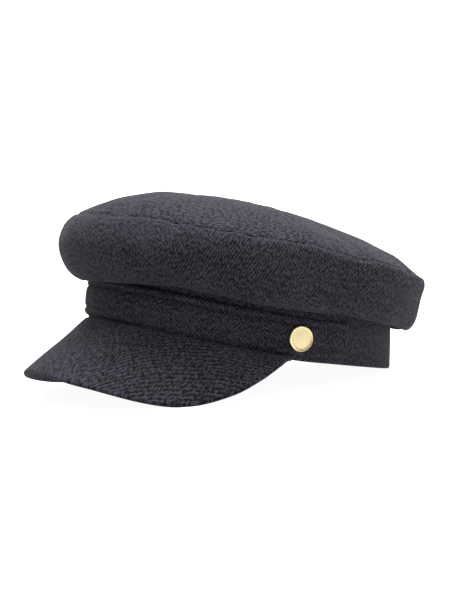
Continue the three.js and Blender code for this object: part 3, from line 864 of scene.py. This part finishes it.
# Radius and height along the button's face, as shares of its radius and thickness
BUTTON_PROFILE = [
    (0.0, 0.0), (0.9, 0.0), (0.97, 0.06), (1.0, 0.25), (1.0, 0.62), (0.985, 0.84),
    (0.95, 0.97), (0.925, 1.0), (0.905, 0.99), (0.885, 0.95), (0.865, 0.915), (0.84, 0.9),
    (0.7, 0.9), (0.5, 0.91), (0.35, 0.925), (0.18, 0.935), (0.0, 0.94),
]
BUTTON_SIDES = 96


def button(name, side):
    """A button turned from its profile, with its dots, facing out at one side of the cap."""
    rings = [(r * BUTTON_WIDTH / 2, h * BUTTON_THICKNESS) for r, h in BUTTON_PROFILE]
    points, faces = [], []
    for r, h in rings[1:-1]:
        for k in range(BUTTON_SIDES):
            turn = 2 * math.pi * k / BUTTON_SIDES
            points.append((r * math.cos(turn), r * math.sin(turn), h))
    for ring in range(len(rings) - 3):
        for k in range(BUTTON_SIDES):
            a = ring * BUTTON_SIDES + k
            b = ring * BUTTON_SIDES + (k + 1) % BUTTON_SIDES
            faces.append((a, b, b + BUTTON_SIDES, a + BUTTON_SIDES))
    low = len(points)
    high = low + 1
    points += [(0, 0, rings[0][1]), (0, 0, rings[-1][1])]
    start = (len(rings) - 3) * BUTTON_SIDES
    for k in range(BUTTON_SIDES):
        n = (k + 1) % BUTTON_SIDES
        faces.append((low, n, k))
        faces.append((high, start + k, start + n))
    angle = BUTTON_ANGLE * side
    height = STRAP_LIFT + STRAP_HEIGHT / 2 - BUTTON_DROP
    seat = GAP + STRAP_CLOTH + GAP - band_lean(angle) * height / BAND_HEIGHT
    base = oval_point(np.array(angle), seat, hem_height(angle) + height)
    ahead = oval_point(np.array(angle), seat + 1, hem_height(angle) + height) - base
    turn = Vector(ahead).to_track_quat("Z", "Y").to_matrix().to_4x4()
    plain = len(faces)
    for dot in range(DOT_COUNT):
        a = 2 * math.pi * dot / DOT_COUNT
        first = len(points)
        for depth in (-DOT_STAND, DOT_STAND):
            for k in range(DOT_SIDES):
                b = 2 * math.pi * k / DOT_SIDES
                points.append((
                    DOT_RING * BUTTON_WIDTH / 2 * math.cos(a) + DOT_SIZE * math.cos(b),
                    DOT_RING * BUTTON_WIDTH / 2 * math.sin(a) + DOT_SIZE * math.sin(b),
                    DOT_FACE * BUTTON_THICKNESS + depth,
                ))
        over = first + DOT_SIDES
        faces.append(tuple(first + k for k in reversed(range(DOT_SIDES))))
        faces.append(tuple(over + k for k in range(DOT_SIDES)))
        for k in range(DOT_SIDES):
            n = (k + 1) % DOT_SIDES
            faces.append((first + k, first + n, over + n, over + k))
    mesh = bpy.data.meshes.new(name)
    mesh.from_pydata(points, [], faces)
    mesh.polygons.foreach_set("use_smooth", [i < plain for i in range(len(faces))])
    mesh.transform(Matrix.Translation(Vector(base)) @ turn)
    mesh.materials.append(brass)
    mesh.materials.append(dark_brass)
    mesh.polygons.foreach_set("material_index", [int(i >= plain) for i in range(len(faces))])
    piece = bpy.data.objects.new(name, mesh)
    bpy.context.collection.objects.link(piece)
    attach(piece, "root")
    return piece


left_button = button("gold_button_left", 1)
right_button = button("gold_button_right", -1)
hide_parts("button_left")
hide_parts("button_right")


# The cap laid down
# Every piece above is made upright. The cap tips back onto its hem until the peak's rim meets
# the surface as well, and the cloth that would go below the surface lies flat on it.
SETTLE = 0.8 * MM
rim_angles = np.arange(0, PEAK_END + 1.0)
rim_reach, rim_height = rim_of(rim_angles)
rim_points = oval_point(rim_angles, rim_reach, rim_height)
heel = oval_point(np.array(180.0), 0.0, hem_height(180.0))
pitch = float(np.arctan2(heel[2] - rim_points[:, 2], heel[1] - rim_points[:, 1]).max())
lift = heel[1] * math.sin(pitch) - heel[2] * math.cos(pitch) - SETTLE
band_back = oval_point(np.array(180.0), -band_lean(180.0), hem_height(180.0) + BAND_HEIGHT)
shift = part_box("band")[1][1] - band_back[1] * math.cos(pitch) - band_back[2] * math.sin(pitch)
LAID_DOWN = Matrix.Translation((0, shift, lift)) @ Matrix.Rotation(-pitch, 4, "X")

cloth_pieces = [band, strap, peak, crown_side, crown_back, crown_top]
for piece in cloth_pieces + stitches + [left_button, right_button]:
    piece.data.transform(LAID_DOWN)
    if piece in cloth_pieces:
        places = np.zeros(len(piece.data.vertices) * 3)
        piece.data.vertices.foreach_get("co", places)
        places = places.reshape(-1, 3)
        places[:, 2] = np.maximum(places[:, 2], 0)
        piece.data.vertices.foreach_set("co", places.ravel())
    piece.data.update()


# The setting
# A white sheet that glows softly from below and curves up behind the cap. A broad light hangs
# overhead, with weaker ones in front, at the side and behind, and one on the sheet's back.
SWEEP_WIDE = 6.0
SWEEP_FRONT = -3.0
SWEEP_BACK = 1.6
SWEEP_HIGH = 3.0
SWEEP_ROUND = 0.8
SWEEP_STEPS = 12
profile = [(SWEEP_FRONT, 0.0)]
for step in range(SWEEP_STEPS + 1):
    turn = math.pi / 2 * step / SWEEP_STEPS
    ahead = SWEEP_BACK - SWEEP_ROUND + SWEEP_ROUND * math.sin(turn)
    profile.append((ahead, SWEEP_ROUND * (1 - math.cos(turn))))
profile.append((SWEEP_BACK, SWEEP_HIGH))
VIEW_AZIMUTH = math.radians(65.93)
sweep_turn = Matrix.Rotation(VIEW_AZIMUTH, 4, "Z")
sweep_mesh = bpy.data.meshes.new("sweep")
sweep_points = []
sweep_faces = []
for ahead, high in profile:
    for side in (-SWEEP_WIDE / 2, SWEEP_WIDE / 2):
        sweep_points.append((side, ahead, high))
for k in range(len(profile) - 1):
    sweep_faces.append((2 * k, 2 * k + 1, 2 * k + 3, 2 * k + 2))
sweep_mesh.from_pydata(sweep_points, [], sweep_faces)
sweep_mesh.transform(sweep_turn)
sweep_mesh.polygons.foreach_set("use_smooth", [True] * len(sweep_mesh.polygons))
sweep = bpy.data.objects.new("sweep", sweep_mesh)
bpy.context.collection.objects.link(sweep)
paper = bpy.data.materials.new("white paper")
paper.use_nodes = True
paper_shader = paper.node_tree.nodes["Principled BSDF"]
paper_shader.inputs["Base Color"].default_value = (0.26, 0.26, 0.26, 1)
paper_shader.inputs["Emission Color"].default_value = (1, 1, 1, 1)
paper_shader.inputs["Emission Strength"].default_value = 0.95
paper_shader.inputs["Roughness"].default_value = 0.9
sweep_mesh.materials.append(paper)


CAP_MIDDLE = 60 * MM


def softbox(name, azimuth, elevation, distance, size, watts):
    """A square area light round the cap, aimed at its middle."""
    light = bpy.data.lights.new(name, "AREA")
    light.shape = "SQUARE"
    light.size = size
    light.energy = watts
    lamp = bpy.data.objects.new(name, light)
    a = math.radians(azimuth)
    e = math.radians(elevation)
    place = Vector((math.sin(a) * math.cos(e), -math.cos(a) * math.cos(e), math.sin(e))) * distance
    lamp.location = place + Vector((0, 0, CAP_MIDDLE))
    lamp.rotation_euler = (-place).to_track_quat("-Z", "Y").to_euler()
    bpy.context.collection.objects.link(lamp)


softbox("overhead", azimuth=50, elevation=80, distance=1.8, size=2.0, watts=57)
softbox("front", azimuth=40, elevation=58, distance=2.0, size=1.0, watts=3.5)
softbox("side", azimuth=114, elevation=8, distance=2.2, size=1.5, watts=2.5)
softbox("behind", azimuth=158, elevation=6, distance=2.0, size=1.2, watts=20)
backdrop_light = bpy.data.lights.new("backdrop", "AREA")
backdrop_light.shape = "SQUARE"
backdrop_light.size = 1.2
backdrop_light.energy = 120
backdrop_lamp = bpy.data.objects.new("backdrop", backdrop_light)
BACKDROP_PLACE = (0, 0.4, 2.3)
BACKDROP_AIM = (0, 1.2, -1.7)
backdrop_aim = sweep_turn @ Vector(BACKDROP_AIM)
backdrop_lamp.location = sweep_turn @ Vector(BACKDROP_PLACE)
backdrop_lamp.rotation_euler = backdrop_aim.to_track_quat("-Z", "Y").to_euler()
bpy.context.collection.objects.link(backdrop_lamp)

world = bpy.data.worlds.new("studio")
bpy.context.scene.world = world
world.use_nodes = True
world.node_tree.nodes["Background"].inputs["Color"].default_value = (1, 1, 1, 1)
world.node_tree.nodes["Background"].inputs["Strength"].default_value = 0.08


# The camera
# It is placed round from the front of the upright cap, nearly level and rolled a little, and
# then laid down with the cap, so that it keeps the photo's angle.
VIEW_RISE = math.radians(-0.23)
VIEW_ROLL = math.radians(6.42)
VIEW_DISTANCE = 1.216
VIEW_SCALE = 0.652 * MM
VIEW_ASIDE = (12.67 * MM, -3.74 * MM)
AIM_HEIGHT = 30 * MM
SENSOR = 36.0
PICTURE_HEIGHT = 600
right = Vector((math.cos(VIEW_AZIMUTH), math.sin(VIEW_AZIMUTH), 0))
toward = Vector((
    math.sin(VIEW_AZIMUTH) * math.cos(VIEW_RISE),
    -math.cos(VIEW_AZIMUTH) * math.cos(VIEW_RISE),
    math.sin(VIEW_RISE),
))
level = toward.cross(right)
tilted_right = right * math.cos(VIEW_ROLL) + level * math.sin(VIEW_ROLL)
tilted_up = level * math.cos(VIEW_ROLL) - right * math.sin(VIEW_ROLL)
eye = Vector((0, 0, AIM_HEIGHT)) + toward * VIEW_DISTANCE
eye -= tilted_right * VIEW_ASIDE[0] + tilted_up * VIEW_ASIDE[1]
camera_data = bpy.data.cameras.new("camera")
camera_data.sensor_width = SENSOR
camera_data.lens = VIEW_DISTANCE / VIEW_SCALE * SENSOR / PICTURE_HEIGHT
camera = bpy.data.objects.new("camera", camera_data)
axes = Matrix((tilted_right, tilted_up, toward)).transposed().to_4x4()
camera.matrix_world = LAID_DOWN @ Matrix.Translation(eye) @ axes
bpy.context.collection.objects.link(camera)
bpy.context.scene.camera = camera
bpy.context.scene.view_settings.view_transform = "Standard"
